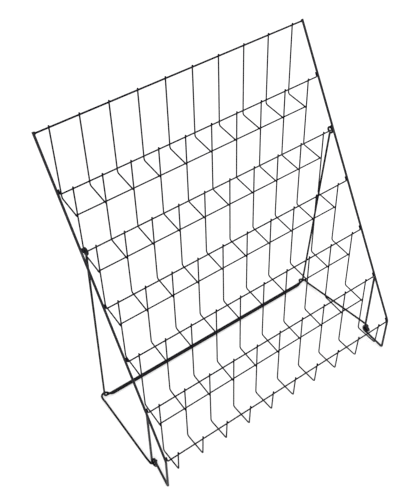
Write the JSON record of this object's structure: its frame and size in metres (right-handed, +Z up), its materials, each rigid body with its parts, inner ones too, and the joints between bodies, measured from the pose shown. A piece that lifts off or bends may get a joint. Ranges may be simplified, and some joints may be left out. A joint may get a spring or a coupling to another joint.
{
  "type": "literature rack",
  "caption": "Folding countertop wire literature rack: leaning tiers of wire pockets between two side rails, a hinged rear leg frame and a base frame hooked over its floor bar",
  "frame": {"origin": "on the floor, under the middle of the bounding box of the open rack", "axes": "+X to the right seen from the front, +Y to the back, +Z up; the pockets face -Y"},
  "size_m": [0.515, 0.2935, 0.5824],
  "materials": {
    "rail_coating": "near-black semi-gloss coating on steel wire",
    "frame_coating": "near-black semi-gloss coating on steel wire",
    "pocket_coating": "near-black satin coating on steel wire",
    "cross_wire_coating": "near-black satin coating on steel wire"
  },
  "bodies": {
    "panel": {"left_side_rail": "rail_coating", "right_side_rail": "rail_coating", "top_bar": "cross_wire_coating", "lip_wire_1": "cross_wire_coating", "lip_wire_2": "cross_wire_coating", "lip_wire_3": "cross_wire_coating", "lip_wire_4": "cross_wire_coating", "lip_wire_5": "cross_wire_coating", "lip_wire_6": "cross_wire_coating", "shelf_front_wire_1": "cross_wire_coating", "shelf_front_wire_2": "cross_wire_coating", "shelf_front_wire_3": "cross_wire_coating", "shelf_front_wire_4": "cross_wire_coating", "shelf_front_wire_5": "cross_wire_coating", "pocket_wires_row_1": "pocket_coating", "pocket_wires_row_2": "pocket_coating", "pocket_wires_row_3": "pocket_coating", "pocket_wires_row_4": "pocket_coating", "pocket_wires_row_5": "pocket_coating", "pocket_wires_row_6": "pocket_coating"},
    "leg_frame": {"leg_frame": "frame_coating"},
    "base_frame": {"base_frame": "frame_coating"}
  },
  "joints": [
    {"name": "leg_fold", "type": "hinge", "parent": "panel", "child": "leg_frame", "pos_m": [0, 0.0474, 0.41245], "axis": [-1, 0, 0], "range_deg": [0, 24]},
    {"name": "base_fold", "type": "hinge", "parent": "panel", "child": "base_frame", "pos_m": [0, -0.0987, 0.01811], "axis": [1, 0, 0], "range_deg": [0, 64]}
  ],
  "couplings": [
    {"joint": "base_fold", "follows": "leg_fold", "ratio": 2.66}
  ]
}
